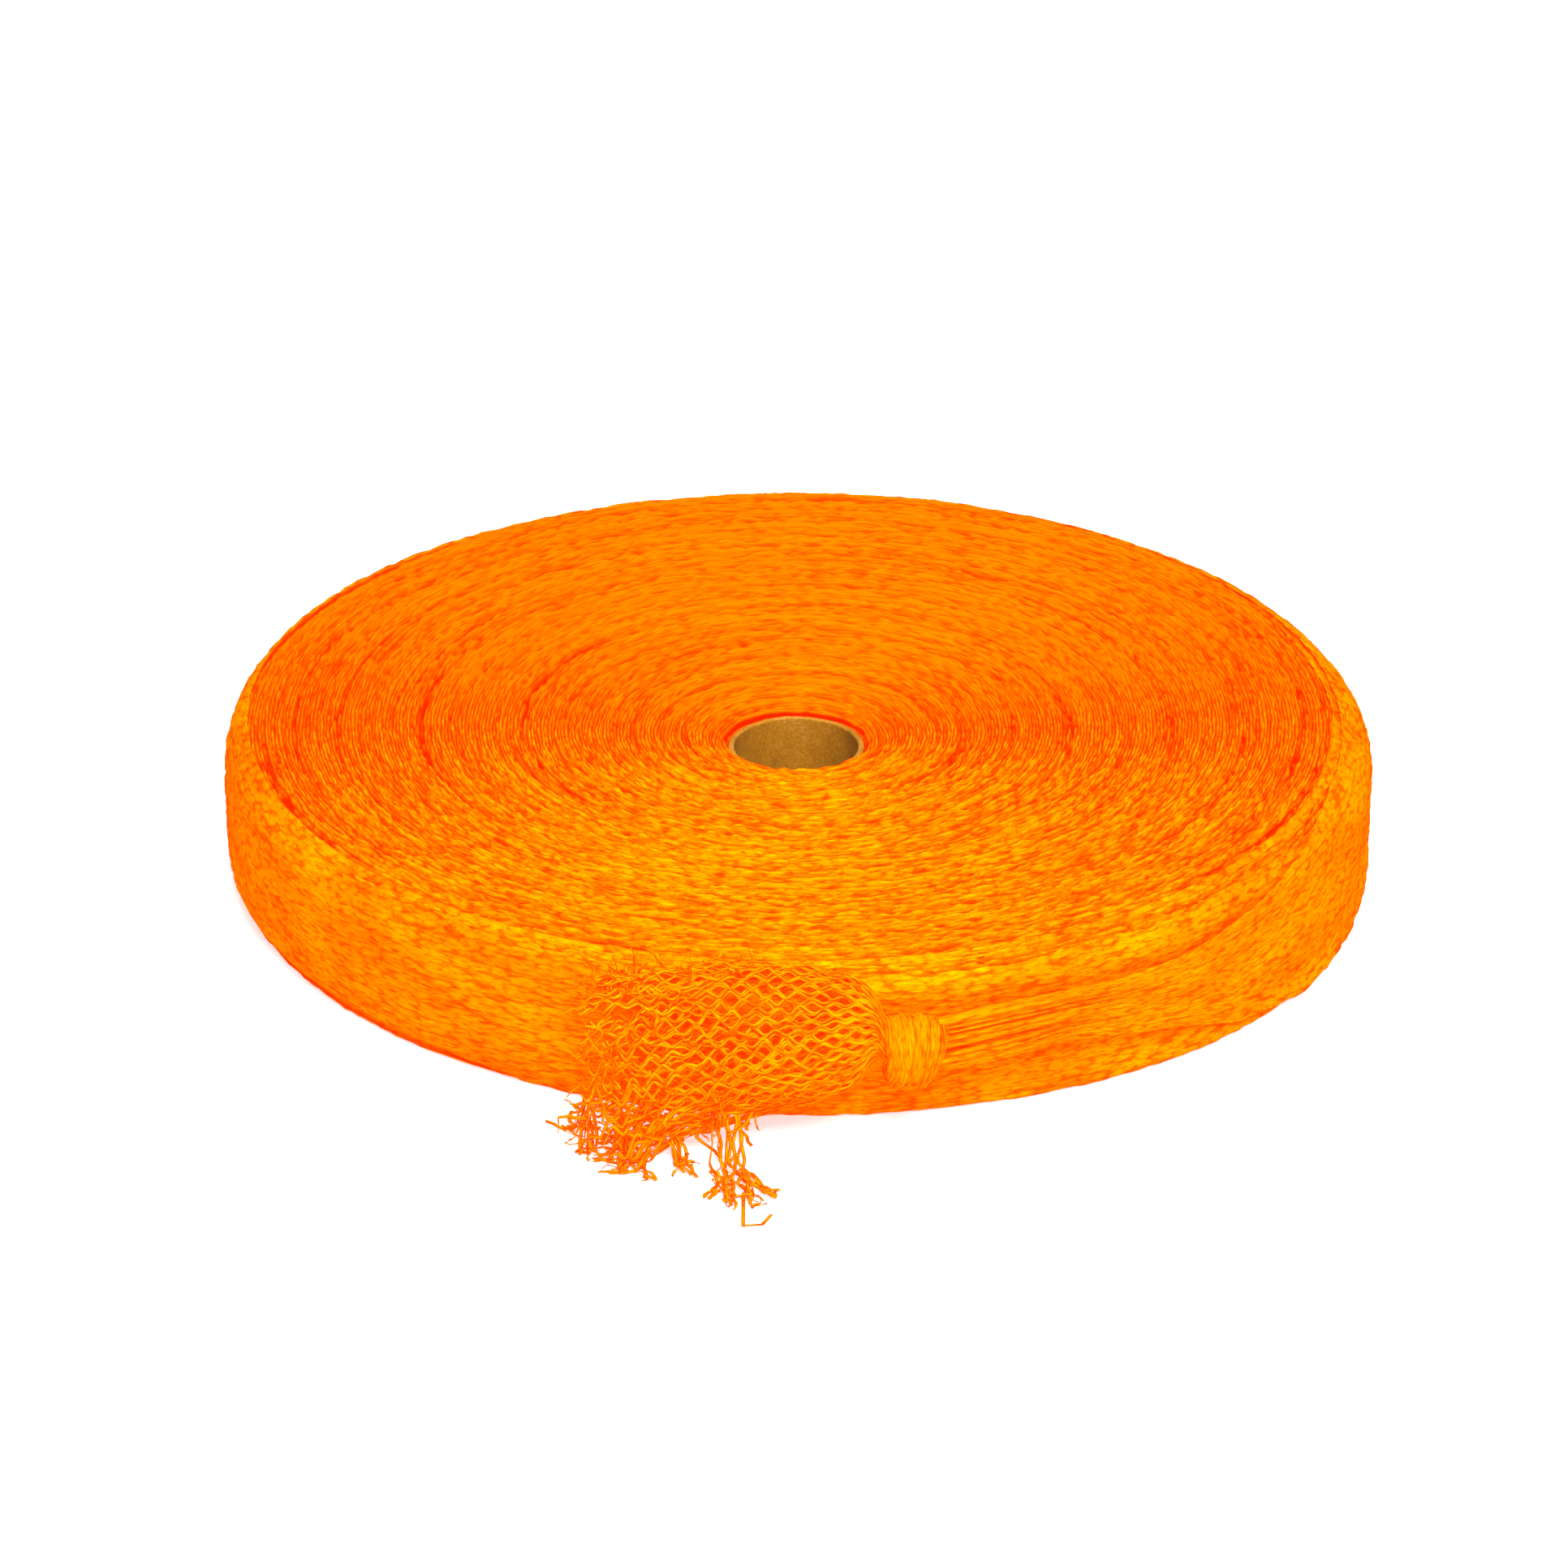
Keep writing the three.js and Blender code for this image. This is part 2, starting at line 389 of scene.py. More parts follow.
def light():
    world = bpy.data.worlds.new("studio")
    world.use_nodes = True
    world.node_tree.nodes["Background"].inputs["Color"].default_value = (1, 1, 1, 1)
    world.node_tree.nodes["Background"].inputs["Strength"].default_value = 0.55
    bpy.context.scene.world = world
    area_light("key", (0.25, -1.25, 1.35), 0.9, 56)
    area_light("top", (-0.1, 0.5, 1.9), 1.2, 36)
    bpy.context.scene.view_settings.view_transform = "Standard"


camera()
floor()
light()


# ---- core ----


def paper_core():
    """The core with softly worn rims, a wound seam in its bore and its paper edge on top."""
    columns = 160
    bore = CORE_RADIUS - CORE_WALL
    worn = 0.5
    rows = []
    for z in np.linspace(BASE, CORE_TOP - worn, 40):
        rows.append((bore, z))
    for turn in np.linspace(0.25, 1, 4) * math.pi / 2:
        rows.append((bore + worn - worn * math.cos(turn), CORE_TOP - worn + worn * math.sin(turn)))
    for turn in np.linspace(0, 1, 5) * math.pi / 2:
        rows.append(
            (CORE_RADIUS - worn + worn * math.sin(turn), CORE_TOP - worn + worn * math.cos(turn))
        )
    rows += [(CORE_RADIUS, CORE_TOP - 6), (CORE_RADIUS, BASE), (bore, BASE)]
    radius, z = np.array(rows).T
    theta = np.linspace(0, 2 * math.pi, columns, endpoint=False)
    seam_pitch = 38.0
    seam = ((z[:, None] / seam_pitch - theta[None, :] / (2 * math.pi)) % 1) * seam_pitch
    groove = 0.12 * np.exp(-((seam / 0.5) ** 2)) * (radius[:, None] < bore + 0.01)
    chipped = Wander(3.0)
    wear = 0.25 * chipped.at(theta * CORE_RADIUS) * (z > CORE_TOP - 0.3)[:, None]
    reach = radius[:, None] + groove
    points = np.stack(
        [reach * np.cos(theta), reach * np.sin(theta), z[:, None] + wear * np.ones_like(reach)], -1
    )
    lay = np.zeros_like(points)
    quads = grid_faces(len(rows), columns, wrap=True, flip=True)
    piece = make_piece("kraft_core", [(points, quads, lay)], KRAFT)
    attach(piece, "roll")
    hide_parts("paper_core")


paper_core()
frame["nodes"]["start_tape"].data.materials.clear()
frame["nodes"]["start_tape"].data.materials.append(tape_material())


# ---- wound net ----

dash = Wander(3.4)
valley = Wander(6.0)
slow = Wander(60.0)
lean = Wander(9.0)
drift = Wander(140.0)
ripple = Wander(3.4)
ragged = Wander(5.5)

# Slack turns leave grooves in the flat face: radius as a share of the roll's, depth and width in
# mm, the direction in degrees in which the groove is deepest, and how far it spreads round.
GROOVES = [
    (0.19, 1.6, 0.8, 190, 60),
    (0.283, 2.2, 0.9, 200, 45),
    (0.283, 2.2, 0.9, -20, 45),
    (0.474, 4.2, 1.1, 178, 48),
    (0.48, 4.2, 1.1, -20, 55),
    (0.497, 2.4, 0.7, 205, 30),
    (0.56, 1.8, 0.8, 225, 40),
    (0.62, 2.6, 0.8, 72, 16),
    (0.645, 4.2, 1.1, 180, 42),
    (0.65, 2.4, 0.9, 2, 40),
    (0.78, 2.2, 0.8, -25, 50),
    (0.8, 2.2, 0.8, 186, 35),
    (0.87, 2.8, 1.0, 182, 50),
    (0.875, 3.2, 1.0, -12, 50),
    (0.9, 2.4, 0.9, 200, 40),
    (0.915, 2.8, 0.9, -30, 45),
    (0.937, 4.4, 1.8, 222, 34),
    (0.94, 3.0, 1.2, -15, 40),
]
ARCS = 60  # short slack arcs between the grooves
YARN_APART = 1013.7  # how far apart neighbouring yarns read the random relief


def slack_arcs():
    """Random short grooves, as rows like those of GROOVES."""
    share = rng.uniform(0.16, 0.93, ARCS) ** 0.8
    depth = rng.uniform(0.8, 2.2, ARCS)
    width = rng.uniform(0.5, 0.9, ARCS)
    towards = rng.uniform(-180, 180, ARCS)
    spread = rng.uniform(8, 30, ARCS)
    return list(zip(share, depth, width, towards, spread))


SLACK = GROOVES + slack_arcs()
TOP_RADII = [CORE_RADIUS] + BAND_RADII
TOP_HEIGHTS = [CORE_TOP + 3.5] + BAND_TOPS
SHOULDER = 12.0  # radius of the roll's upper outer edge


def shoulder_drop(radius, edge):
    """How far a round shoulder that ends at the edge radius has fallen at the given radius."""
    over = np.clip(radius - (edge - SHOULDER), 0, SHOULDER * 0.999)
    return SHOULDER - np.sqrt(SHOULDER**2 - over**2)


def groove_depth(radius, theta):
    """Depth of the deepest groove at each place. Grooves wander, and fade and deepen on the way."""
    depth = np.zeros(np.broadcast(radius, theta).shape)
    for index, (share, deepest, width, towards, spread) in enumerate(SLACK):
        wander = 1.4 * np.sin(theta * 2 + index) + 0.7 * np.sin(5 * theta + 2 * index)
        along = theta * share * ROLL_RADIUS + 517.0 * index
        wander = wander + 0.7 * ragged.at(along)
        turn = (np.degrees(theta) - towards + 180) % 360 - 180
        strength = deepest * np.exp(-((turn / spread) ** 2)) * (0.62 + 0.38 * ragged.at(along + 9000))
        off = (radius - share * ROLL_RADIUS - wander) / width
        depth = np.maximum(depth, strength * np.exp(-(off**2)))
    return depth


def inner_dip(theta):
    """How far the first turns have sunk towards the core, most of all at the back."""
    return 3.5 * (0.5 + 0.5 * np.sin(theta))


def face_height(radius, theta):
    """How high the flat face stands, before its grooves and the yarns' own relief."""
    height = np.interp(radius, TOP_RADII, TOP_HEIGHTS) - shoulder_drop(radius, BAND_RADII[-1])
    height = height - inner_dip(theta) * np.exp((CORE_RADIUS - radius) / 3.5)
    return height + 0.55 * ripple.at(radius + 2.0 * drift.at(theta * radius + 900 * radius // 30))


def yarn_length(turns, theta):
    """Length along the spiral from its first turn."""
    phi = 2 * math.pi * turns + theta
    return FIRST_TURN * phi + TURN * phi**2 / (4 * math.pi)


def wound_face(first, last, columns, upper):
    """The folded edges of the turns, as crests and valleys along the spiral, one row each."""
    row = np.arange(first, last + 1)[:, None]
    theta = np.linspace(0, 2 * math.pi, columns)[None, :]
    radius = FIRST_TURN + TURN * (row / 2 + theta / (2 * math.pi))
    length = yarn_length(row // 2, theta)
    relief = np.where(
        row % 2 == 0,
        0.65 * dash.at(length) + 0.4 * slow.at(length),
        -1.5 + 0.6 * valley.at(length + 31),
    )
    sway = 0.4 * lean.at(length) + 0.25 * dash.at(length * 1.3 + 700)
    groove = groove_depth(radius, theta)
    if upper:
        z = face_height(radius, theta) + relief - groove
    else:
        z = np.maximum(BASE + 1.0 - relief * 0.9, BASE + 0.05)
    reach = radius + sway
    points = np.stack([reach * np.cos(theta), reach * np.sin(theta), z], -1)
    # Painted shade: lay height is lower, so the net is darker, in the valleys and the slack grooves.
    height = np.clip(relief / 1.7 + 0.7 - 0.3 * groove, 0, 1)
    lay = np.stack([length, row * TURN / 2 + 0 * length, height], -1)
    return points, grid_faces(len(row), columns, flip=upper), lay


def wound_wall(radius, heights, columns, seed, outward=True):
    """Rows of yarn round the roll at the given radius and heights, from the top down."""
    theta = np.linspace(0, 2 * math.pi, columns)[None, :]
    row = np.arange(len(heights))[:, None]
    length = theta * radius + row * YARN_APART + seed
    relief = np.where(row % 2 == 0, 0.1, -0.1) + 0.35 * dash.at(length)
    reach = radius + relief
    points = np.stack([reach * np.cos(theta), reach * np.sin(theta), heights + 0 * reach], -1)
    # Painted shade: lay height is lower, so the net is darker, in the valleys between rows.
    lay = np.stack([length, row * ROW_STEP + 0 * length, np.clip(relief / 1.4 + 0.72, 0, 1)], -1)
    return points, grid_faces(len(heights), columns, flip=outward), lay


def row_at(radius):
    """Number of the crest or valley at a radius."""
    return int(round(2 * (radius - FIRST_TURN) / TURN))


def wound_band(index):
    """One band of the roll: its two flat faces, and its walls where they show."""
    inner = FIRST_TURN if index == 0 else BAND_RADII[index - 1]
    outer = BAND_RADII[index]
    first, last = row_at(inner), row_at(outer)
    columns = int(2 * math.pi * outer / YARN_STEP)
    parts = [
        wound_face(first, last, columns, True),
        wound_face(first, last, columns // 2, False),
    ]
    if index == 0:
        drop = np.arange(0, 8, ROW_STEP)[:, None]
        theta = np.linspace(0, 2 * math.pi, columns)[None, :]
        heights = CORE_TOP + 2.4 - inner_dip(theta) - drop
        parts.append(wound_wall(FIRST_TURN - 0.2, heights, columns, 50, outward=False))
    if index == len(BAND_RADII) - 1:
        top = BAND_TOPS[-1] - SHOULDER + 2
        heights = np.arange(top, BASE + 0.5, -ROW_STEP)[:, None]
        parts.append(wound_wall(outer, heights, columns, 90))
    piece = make_piece(f"net_band_{index + 1}", parts, NET)
    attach(piece, "roll")
    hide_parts(BANDS[index])


for band_index in range(len(BANDS)):
    wound_band(band_index)


# ---- last turn and leader: one strip of flattened net, from the roll to the knot ----

strip_dash = Wander(4.2)
strip_slow = Wander(38.0)
pleat = Wander(2.4)

STRIP_ROWS = 100
OUTER_ROWS = 0.72  # share of the rows that lie on the outer face
STRIP_STEP = 1.7  # distance between points along the strip
LEADER_STEP = 1.5
STRIP_SQUARENESS = 0.42  # power of the superellipse: 0 is a rectangle, 1 an ellipse
STRIP_INSET = 1.5  # from the roll's radius in to the middle of the strip
NECK_STANDOFF = 14.5  # from the roll's radius out to the middle of the neck
NECK_HALF_THICKNESS = 7.2
JOIN = LEADER_START + math.radians(6)  # where the leader's piece overlaps the last turn's
TURNS_SHOWN = 1.17  # the last turn, with the start of the one under it where the leader narrows
# Directions in degrees, and the heights in mm above the base of the strip's upper and lower edges.
EDGE_TURN = [-79.8, -72, -65, -58, -51, -44, -33, -25, -18, -5]
UPPER_EDGE = [47.6, 48.5, 46.5, 44, 43.5, 46.8, 54, 58, 60, 61]
LOWER_EDGE = [29.0, 27.0, 26.5, 20, 13, 5, 0.6, 0.6, 0.6, 0.6]


def superellipse(across, up, power, rows, outer):
    """An outline of the given half sizes, from -up by way of +across, with a share of its points
    on that outer side."""
    turn = np.linspace(-0.5 * math.pi, 1.5 * math.pi, 721)
    c, s = np.cos(turn), np.sin(turn)
    fine = np.stack(
        [across * np.sign(c) * np.abs(c) ** power, up * np.sign(s) * np.abs(s) ** power], -1
    )
    along = np.concatenate([[0], np.cumsum(np.linalg.norm(np.diff(fine, axis=0), axis=1))])
    count = int(round(rows * outer))
    half = along[-1] / 2
    even = np.concatenate(
        [
            np.linspace(0, half, count, endpoint=False),
            np.linspace(half, along[-1], rows - count, endpoint=False),
        ]
    )
    return np.stack([np.interp(even, along, fine[:, k]) for k in (0, 1)], -1)


def strip_station(angle):
    """Middle, outward direction, half thickness, half height, squareness and gather."""
    outward = np.array([math.cos(angle), math.sin(angle), 0])
    degrees = math.degrees(angle)
    turn = degrees if degrees < 180 else 0.0
    top = float(np.interp(turn, EDGE_TURN, UPPER_EDGE))
    bottom = float(np.interp(turn, EDGE_TURN, LOWER_EDGE))
    up = (top - bottom) / 2
    if angle >= LEADER_START:
        share = (angle - LEADER_START) / (2 * math.pi)
        middle = outward * (ROLL_RADIUS - STRIP_INSET - 3.35 * share)
        middle[2] = BASE + (top + bottom) / 2
        return middle, outward, STRIP_THICKNESS / 2, up, STRIP_SQUARENESS, 0.0
    share = (LEADER_START - angle) / (LEADER_START - KNOT_ANGLE)
    gather = float(smoothstep(share, 0.0, 1))
    middle = outward * (ROLL_RADIUS + mix(-STRIP_INSET, NECK_STANDOFF, share**2.2))
    middle[2] = BASE + (top + bottom) / 2
    across = mix(STRIP_THICKNESS / 2, NECK_HALF_THICKNESS, gather**2)
    return middle, outward, across, up, mix(STRIP_SQUARENESS, 1.0, gather), gather


def near(degrees, towards, spread):
    """1 in the given direction, falling to 0 on either side of it."""
    return math.exp(-(((degrees % 360 - towards) / spread) ** 2))


def inward_bend(height, degrees):
    """How far the strip's edges bend in over the roll's shoulder and under its foot."""
    above = np.clip((height - 45) / 16, 0, 1.05)
    below = np.clip((14 - height) / 14, 0, 1.05)
    foot = 0.3 + 7.5 * near(degrees, 221, 24) - 7 * near(degrees, 317, 21)
    shoulder = 12 - 6 * near(degrees, 158, 36)
    return shoulder * above**2.4 + foot * below**2


def strip(angles):
    """The strip between the given angles round the roll, with the yarn rows along it."""
    sections, gathers = [], []
    for angle in angles:
        middle, outward, across, up, power, gather = strip_station(angle)
        outline = superellipse(across, up, power, STRIP_ROWS, OUTER_ROWS)
        height = middle[2] - BASE + outline[:, 1]
        inward = (1 - gather) * inward_bend(height, math.degrees(angle))
        sections.append(middle + (outline[:, 0] - inward)[:, None] * outward + outline[:, 1:] * UP)
        gathers.append(gather)
    points = np.array(sections)
    gather = np.array(gathers)[:, None]
    length = (np.asarray(angles) * ROLL_RADIUS)[:, None]
    row = np.arange(STRIP_ROWS)[None, :]
    outline = superellipse(
        STRIP_THICKNESS / 2, STRIP_HEIGHT / 2, STRIP_SQUARENESS, STRIP_ROWS, OUTER_ROWS
    )
    steps = np.linalg.norm(np.diff(outline, axis=0), axis=1)
    across = np.concatenate([[0], np.cumsum(steps)])[None, :]
    own = length + np.floor(across / 1.45) * YARN_APART
    relief = 0.1 * np.where(row % 2 == 0, 1, -1) + 0.4 * strip_dash.at(own)
    relief = relief + 0.35 * strip_slow.at(length + 60 * np.floor(across / 8))
    folds = pleat.at(row * 1.1 + 0.02 * length) * 2.3 * gather**2
    normals = grid_normals(points)
    points = points + normals * (relief * (1 - 0.4 * gather) + folds)[:, :, None]
    # Painted shade: lower lay height, so darker, in the hollows of the relief and the folds; the
    # gathered neck is painted brighter.
    height = np.clip((relief + 0.22 * folds) / 2.1 + 0.74 + 0.2 * gather, 0, 1)
    lay = np.stack([length + 0 * row, across + 0 * length, height], -1)
    points[:, :, 2] = np.maximum(points[:, :, 2], BASE + 0.1)
    return points, grid_faces(len(angles), STRIP_ROWS, wrap=True), lay


def strip_angles(start, end, step):
    count = int(abs(end - start) * ROLL_RADIUS / step) + 1
    return np.linspace(start, end, count)


def last_turn():
    """The strip round the roll, up to where the leader starts."""
    angles = strip_angles(JOIN, LEADER_START + 2 * math.pi * TURNS_SHOWN, STRIP_STEP)
    points, quads, lay = strip(angles)
    piece = make_piece("net_last_turn", [(points, quads, lay)], NET)
    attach(piece, "roll")
    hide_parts("last_turn")


def leader():
    """The strip as it leaves the roll and gathers into the neck."""
    angles = strip_angles(KNOT_ANGLE, JOIN, LEADER_STEP)
    points, quads, lay = strip(angles)
    piece = make_piece("net_leader", [(points, quads, lay)], NET)
    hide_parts("leader_strap", "gathered_neck")
    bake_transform(piece)


last_turn()
leader()


# ---- knot ----

NECK_AXIS = np.array([math.sin(KNOT_ANGLE), -math.cos(KNOT_ANGLE), 0])
KNOT_OUT = np.array([math.cos(KNOT_ANGLE), math.sin(KNOT_ANGLE), 0])
KNOT_REACH = 10.2  # distance from the neck's axis to the middle of the knot's band


def closed_ring(rows):
    """The rows with the first one once more at the end."""
    return np.concatenate([rows, rows[:1]])


def knot():
    """The band of folded net that grips the neck, with its yarns running round it."""
    columns, rows = 120, 84
    fold = Wander(3.0)
    fine = Wander(3.6)
    sections = []
    turns = np.linspace(0, 2 * math.pi, columns, endpoint=False)
    for turn in turns:
        radial = KNOT_OUT * math.cos(turn) + UP * math.sin(turn)
        half_width = 10.2 + 2.4 * math.sin(turn)
        outline = superellipse(3.6, half_width, 0.8, rows, 0.7)
        axis = NECK_AXIS + 0.12 * math.sin(turn + 0.5) * radial
        centre = KNOT + radial * KNOT_REACH - NECK_AXIS * (0.8 + 1.5 * math.sin(turn))
        sections.append(centre + outline[:, :1] * radial + outline[:, 1:] * axis)
    points = np.array(sections)
    row = np.arange(rows)[None, :]
    along = (turns * 14)[:, None]
    slant = row * 0.75 + 7 * np.sin(turns)[:, None] * (row / rows)
    pleats = 0.55 * fold.at(slant) + 0.25 * np.sin(slant * 1.7)
    yarns = np.where(row % 2 == 0, 0.14, -0.14) + 0.2 * fine.at(along + row * 311.7)
    relief = yarns + pleats
    inward = grid_normals(closed_ring(points))[:-1]
    points = points - inward * relief[..., None]
    # Painted shade: lay height is lower, so the net is darker, in the hollows between the knot's
    # folds.
    lay = np.stack([along + 0 * row, slant * 1.1, np.clip(relief / 1.6 + 0.72, 0, 1)], -1)
    quads = grid_faces(columns + 1, rows, wrap=True, flip=True)
    piece = make_piece("net_knot", [(closed_ring(points), quads, closed_ring(lay))], NET)
    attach(piece, "leader")
    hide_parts("knot_wrap")


knot()


# ---- bell and frayed ends: yarns of their own ----

LOOSE_YARN_SHADE_HEIGHT = 0.75  # lay height of a loose yarn, at which the height ramp paints no shade, so it reads as bright net


def ribbons(paths, normals, widths, thickness):
    """Flat yarns along paths of shape (yarns, points, 3), their flat sides facing the normals."""
    yarns, count, _ = paths.shape
    tangent = unit(np.gradient(paths, axis=1))
    side = unit(np.cross(normals, tangent))
    face = np.cross(tangent, side)
    half = 0.5 * widths[..., None] * side
    thick = 0.5 * thickness * face
    points = np.stack([paths + half, paths + thick, paths - half, paths - thick], 2)
    one = grid_faces(count, 4, wrap=True, flip=True)
    caps = np.array([[0, 1, 2, 3], np.arange(4)[::-1] + 4 * (count - 1)])
    one = np.concatenate([one, caps])
    quads = (one[None] + (np.arange(yarns) * 4 * count)[:, None, None]).reshape(-1, 4)
    step = np.linalg.norm(np.diff(paths, axis=1), axis=-1)
    length = np.concatenate([np.zeros((yarns, 1)), np.cumsum(step, axis=1)], 1)
    lay = np.zeros(points.shape)
    lay[..., 0] = (length + np.arange(yarns)[:, None] * 57.3)[..., None]
    lay[..., 1] = np.array([0.0, 0.5, 1.0, 0.5])
    lay[..., 2] = LOOSE_YARN_SHADE_HEIGHT
    return points, quads, lay


# Sections of the bell: x, middle height above the base, half depth, half height and lean to the roll.
BELL = np.array([
    [37.0, 38.4, 4.5, 6.0, 0.0],
    [32.5, 41.0, 6.0, 8.5, 0.0],
    [30.5, 47.0, 8.0, 10.0, 1.0],
    [28.0, 48.5, 10.0, 13.0, 3.0],
    [25.0, 46.5, 11.5, 17.0, 5.0],
    [20.0, 44.5, 12.5, 20.5, 9.0],
    [6.0, 40.5, 14.0, 23.0, 19.0],
    [-16.0, 37.5, 15.0, 25.5, 25.0],
    [-34.0, 33.5, 15.0, 28.5, 26.0],
    [-56.0, 32.0, 15.0, 29.0, 22.0],
    [-84.0, 29.0, 14.0, 28.0, 16.0],
])
BELL_SHARE = (BELL[0, 0] - BELL[:, 0]) / (BELL[0, 0] - BELL[-1, 0])
BELL_PLACES = np.linspace(0, 1, 50)
BELL_COLUMNS = [np.interp(BELL_PLACES, BELL_SHARE, column) for column in BELL.T]
BELL_LENGTH = 122.0  # about its extent along x, which sets how many meshes there are
WALES = 52
YARNS = 3  # in each wale
MESH_LENGTH = 8.6


def bell_point(along, turn):
    """A point of the bell's wall, along from 0 to 1 and turned from the front upwards."""
    x, middle, depth, height, lean = (
        np.interp(along, BELL_PLACES, column) for column in BELL_COLUMNS
    )
    rise = np.sin(turn)
    y = FOLD[1] - 0.5 - depth * np.cos(turn) + lean * np.clip(rise, 0, 1) ** 2
    z = BASE + middle + height * rise
    crumple = 2.0 * np.sin(3 * turn + 5 * along) + 1.5 * np.sin(5 * turn - 11 * along + 1)
    crumple = crumple + 1.2 * np.sin(8 * turn + 17 * along)
    y = y - crumple * smoothstep(along, 0.1, 0.4)
    z = z + 0.6 * crumple * np.cos(turn) * smoothstep(along, 0.1, 0.4)
    return np.stack([x + 0 * turn, y, z], -1)


def settle(points):
    """Points no lower than the surface that the roll lies on."""
    points[..., 2] = np.maximum(points[..., 2], BASE + 0.5)
    return points


def bell_yarns():
    """Paths and normals of the wales' yarns, and the share of its length where each is cut."""
    count = 96
    along = np.linspace(0, 1, count)[None, None, :]
    wale = np.arange(WALES)[:, None, None]
    yarn = np.arange(YARNS)[None, :, None]
    phase = along * BELL_LENGTH / MESH_LENGTH * 2 * math.pi + 0.5 * np.sin(wale * 1.3)
    uneven = Wander(11.0)
    shape = 0.5 + 0.22 * uneven.at(along * BELL_LENGTH + (wale // 2) * 173.0)
    side = np.where(wale % 2 == 0, shape, -shape)
    zigzag = np.arcsin(np.sin(phase) * 0.97) / (math.pi / 2) * side
    stray = Wander(7.0)
    loose = mix(0.15, 0.7, along**1.3)
    off = (yarn - 1) * 0.2 + loose * stray.at(along * BELL_LENGTH + wale * 211.3 + yarn * 3001.7)
    turn = 2 * math.pi * (wale + zigzag + off) / WALES
    whole = along + 0 * turn
    paths = bell_point(whole, turn)
    ahead = bell_point(np.clip(whole + 0.004, 0, 1), turn) - bell_point(whole - 0.004, turn)
    beside = bell_point(whole, turn + 0.02) - bell_point(whole, turn - 0.02)
    normals = unit(np.cross(ahead, beside))
    lift = 0.7 * Wander(5.0).at(along * BELL_LENGTH + wale * 97.1 + yarn * 1501.3)
    paths = paths + normals * lift[..., None]
    low = np.clip(np.cos(turn + math.radians(50)), 0, 1) ** 2
    spill = smoothstep(along, 0.62, 1.0) * low
    paths[..., 1] -= 14 * spill * (0.8 + 0.4 * np.sin(wale * 2.1))
    paths[..., 2] -= 24 * spill
    paths[..., 0] += 6 * spill
    paths = settle(paths)
    end = mix(0.74, 1.0, rng.random((WALES, YARNS, 1)))
    return paths, normals, end


def cut_at(values, end):
    """Values along each yarn, drawn together so that the yarn stops at its end share."""
    count = values.shape[2]
    place = np.linspace(0, 1, count) * end * (count - 1)
    low = np.clip(np.floor(place).astype(int), 0, count - 2)
    part = (place - low)[..., None]
    index = low[..., None]
    before = np.take_along_axis(values, index, 2)
    after = np.take_along_axis(values, index + 1, 2)
    return (before * (1 - part) + after * part).reshape(-1, count, 3)


def bell():
    """Diamond mesh of the opened tube: neighbouring wales meet by turns on either side."""
    paths, normals, end = bell_yarns()
    paths, normals = cut_at(paths, end), cut_at(normals, end)
    yarns, count, _ = paths.shape
    share = np.linspace(0, 1, count)
    uneven = Wander(4.0).at(np.arange(yarns)[:, None] * 91 + share * 100)
    tapered = 1 - 0.5 * smoothstep(share, 0.97, 1.0)
    widths = 1.25 * (1 + 0.3 * uneven) * tapered
    piece = make_piece("net_bell_mesh", [ribbons(paths, normals, widths, 0.35)], NET)
    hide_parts("net_bell")
    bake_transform(piece)


YARN_BENDS = 5
BEND_POINTS = 4


def kinked_yarns(starts, directions, lengths, kink):
    """Loose yarns that leave their starts along the directions and kink at random as they go."""
    yarns = len(starts)
    heading = directions / np.linalg.norm(directions, axis=-1, keepdims=True)
    corners = [starts]
    for _ in range(YARN_BENDS):
        heading = heading + kink * rng.normal(size=(yarns, 3)) * np.array([1, 1, 0.6])
        heading = heading / np.linalg.norm(heading, axis=-1, keepdims=True)
        step = lengths[:, None] / YARN_BENDS * rng.uniform(0.6, 1.4, (yarns, 1))
        nearer = corners[-1] + heading * step
        nearer[:, 2] = np.maximum(nearer[:, 2], BASE + rng.uniform(0.5, 2.0, yarns))
        corners.append(nearer)
    corners = np.stack(corners, 1)
    steps = []
    for k in range(YARN_BENDS):
        for part in np.arange(BEND_POINTS) / BEND_POINTS:
            steps.append(mix(corners[:, k], corners[:, k + 1], part))
    steps.append(corners[:, -1])
    return settle(np.stack(steps, 1))


def loose_ribbons(paths):
    """Ribbons along the paths, each turned at random about its own length."""
    tangent = np.gradient(paths, axis=1)
    normals = unit(np.cross(tangent, rng.normal(size=(len(paths), 1, 3))))
    return ribbons(paths, normals, np.full(paths.shape[:2], 1.3), 0.4)


FRAY_TOP = 44.0  # height that no loose yarn passes
WALL_TUFTS = 170
MOUTH_YARNS = 110

# Where the ravelled lip of the bell falls onto the surface: x, y and height above the base of each
# strip's two ends, its strands, and how widely they stand at either end.
LIPS = [
    ((-79, -247, 15), (-87, -240, 1.2), 4, 4, 5),
    ((-77, -250, 16), (-79, -262, 1.0), 4, 4, 4),
    ((-66, -252, 15), (-67, -268, 1.0), 6, 6, 5),
    ((-64, -258, 7), (-56, -278, 1.0), 3, 4, 3),
    ((-62, -260, 4), (-65, -275, 1.0), 2, 3, 2),
    ((-50, -254, 13), (-40, -275, 1.0), 5, 4, 4),
    ((-27, -256, 19), (-24, -284, 1.5), 8, 10, 13),
    ((-25, -280, 2), (-33, -292, 1.0), 4, 4, 3),
    ((-25, -282, 2), (-25, -300, 1.0), 4, 4, 3),
    ((-22, -276, 2), (-10, -290, 1.0), 5, 4, 3),
    ((-19, -286, 2), (-15, -298, 1.0), 3, 3, 3),
]
LONE_YARN = [(-20, -291, 1.5), (-20, -314, 0.9), (-13, -313, 0.9), (-9.7, -306.5, 1.2)]


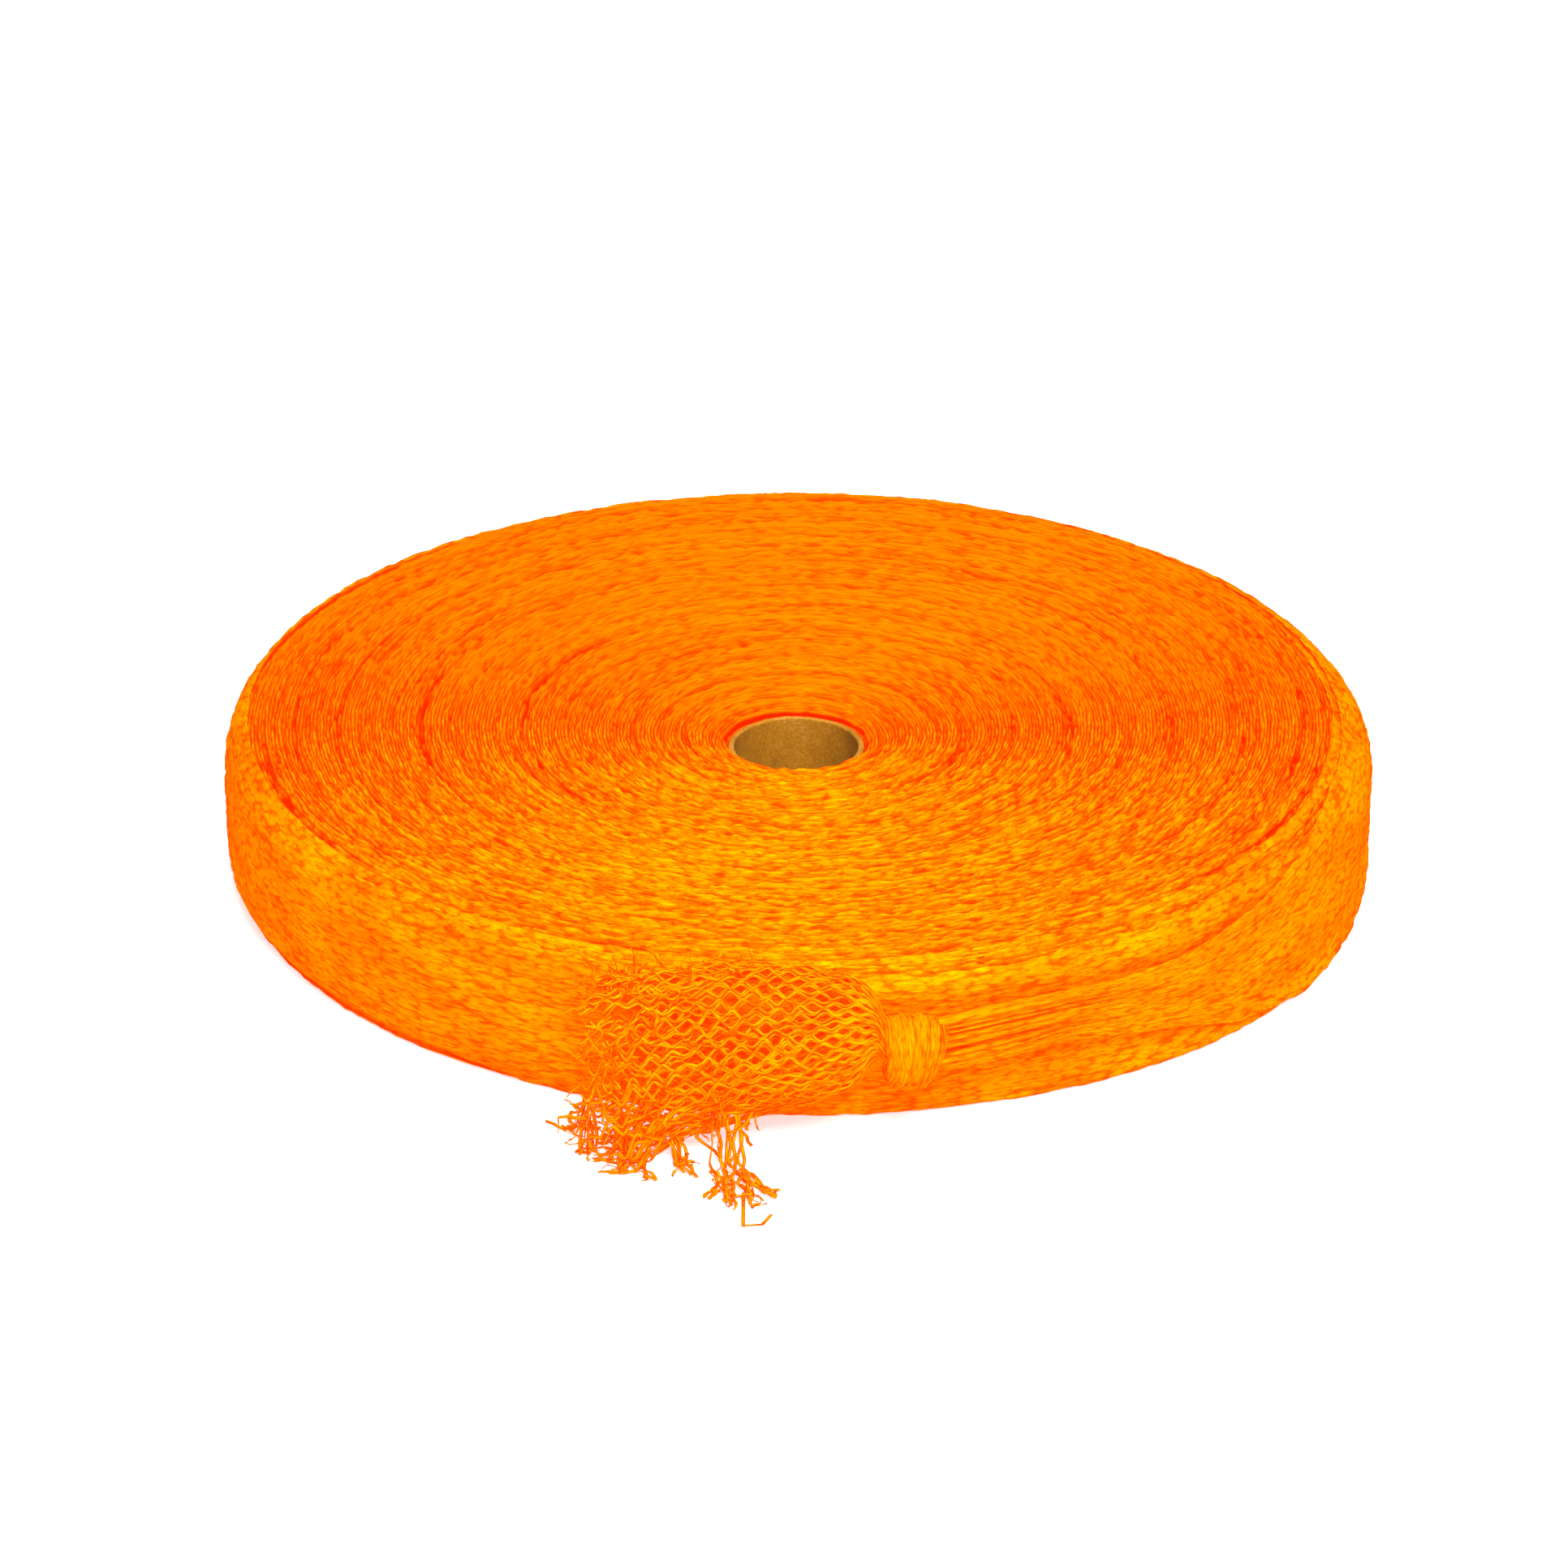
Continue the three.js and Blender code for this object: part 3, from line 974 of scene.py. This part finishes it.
def lip_strands(start, end, strands, near, far):
    """Strands of torn mesh from one end to the other, that meet and part as they go."""
    count = 30
    share = np.linspace(0, 1, count)[None, :]
    start, end = np.array(start, float), np.array(end, float)
    span = end - start
    flat = math.hypot(span[0], span[1])
    beside = np.array([-span[1], span[0], 0]) / flat
    lane = np.linspace(-0.5, 0.5, strands)[:, None]
    reach = rng.uniform(0.8, 1.25, (strands, 1))
    along = share * reach
    sign = np.where(np.arange(strands)[:, None] % 2 == 0, 1, -1)
    cells = np.arcsin(np.sin(2 * math.pi * along * flat / 9.0)) / (math.pi / 2)
    gap = mix(near, far, along) / strands
    aside = lane * mix(near, far, along) + sign * cells * gap * 0.5
    aside = aside + 1.3 * Wander(6.0).at(along * flat + lane * 900)
    lift = 1.4 * np.abs(Wander(5.0).at(along * flat + lane * 700))
    paths = start + span * np.stack([along, along, smoothstep(along, 0, 0.7)], -1)
    paths = paths + beside * aside[..., None] + UP * lift[..., None]
    paths[..., 2] += BASE
    return settle(paths)


def lone_yarn():
    """The single yarn that reaches farthest to the front."""
    corners = np.array(LONE_YARN, float)
    place = np.linspace(0, len(corners) - 1, 31)
    path = np.stack([np.interp(place, np.arange(len(corners)), corners[:, k]) for k in range(3)], -1)
    path[:, 2] += BASE
    return settle(path[None])


def wall_tufts(count):
    """Short cut yarns that stand off the bell's wall, mostly near its mouth."""
    turn = rng.uniform(-0.75 * math.pi, 0.75 * math.pi, count)
    place = rng.uniform(0.3, 0.98, count) ** 0.7
    starts = bell_point(place, turn)
    outward = np.stack([-0.6 - 0 * turn, -np.cos(turn), 0.8 * np.sin(turn)], -1)
    heading = outward + rng.normal(0, 0.7, (count, 3))
    return kinked_yarns(starts, heading, rng.uniform(5, 15, count), 0.45)


def mouth_yarns(count):
    """Cut yarns round the mouth of the bell."""
    turn = rng.uniform(0, 2 * math.pi, count)
    starts = bell_point(rng.uniform(0.7, 0.97, count), turn)
    sideways = -np.abs(rng.normal(0.5, 0.5, count))
    forward = -0.5 * np.cos(turn) + rng.normal(0, 0.5, count)
    upward = 0.3 * np.sin(turn) + rng.normal(0, 0.5, count)
    heading = np.stack([sideways, forward, upward], -1)
    return kinked_yarns(starts, heading, rng.uniform(7, 20, count), 0.45)


def fallen_lip(start, end, strands, near, far):
    """One strip of torn mesh, with cut yarns at its far end."""
    paths = lip_strands(start, end, strands, near, far)
    normals = np.broadcast_to(UP, paths.shape) + 0.3 * rng.normal(size=(len(paths), 1, 3))
    mesh = ribbons(paths, normals, np.full(paths.shape[:2], 1.4), 0.45)
    tips = strands + 2
    starts = paths[rng.integers(0, strands, tips), rng.integers(14, 30, tips)]
    ahead = np.array([end[0] - start[0], end[1] - start[1], 0.0])
    scatter = rng.normal(0, 0.7, (tips, 3)) * np.array([1, 1, 0.3])
    heading = ahead / np.linalg.norm(ahead) + scatter
    loose = kinked_yarns(starts, heading, rng.uniform(3, 9, tips), 0.5)
    return [mesh, loose_ribbons(loose)]


def frayed_ends():
    """The torn lip on the surface, the yarn that runs to the front, and the cut yarns round it."""
    parts = []
    for lip in LIPS:
        parts += fallen_lip(*lip)
    yarn = lone_yarn()
    parts.append(ribbons(yarn, np.broadcast_to(UP, yarn.shape), np.full(yarn.shape[:2], 1.5), 0.9))
    for loose in (wall_tufts(WALL_TUFTS), mouth_yarns(MOUTH_YARNS)):
        ceiling = FRAY_TOP - rng.uniform(0, 6, (len(loose), 1))
        loose[..., 2] = np.minimum(loose[..., 2], ceiling)
        parts.append(loose_ribbons(loose))
    piece = make_piece("net_frayed_ends", parts, NET)
    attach(piece, "bell")
    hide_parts("frayed_ends")


bell()
frayed_ends()
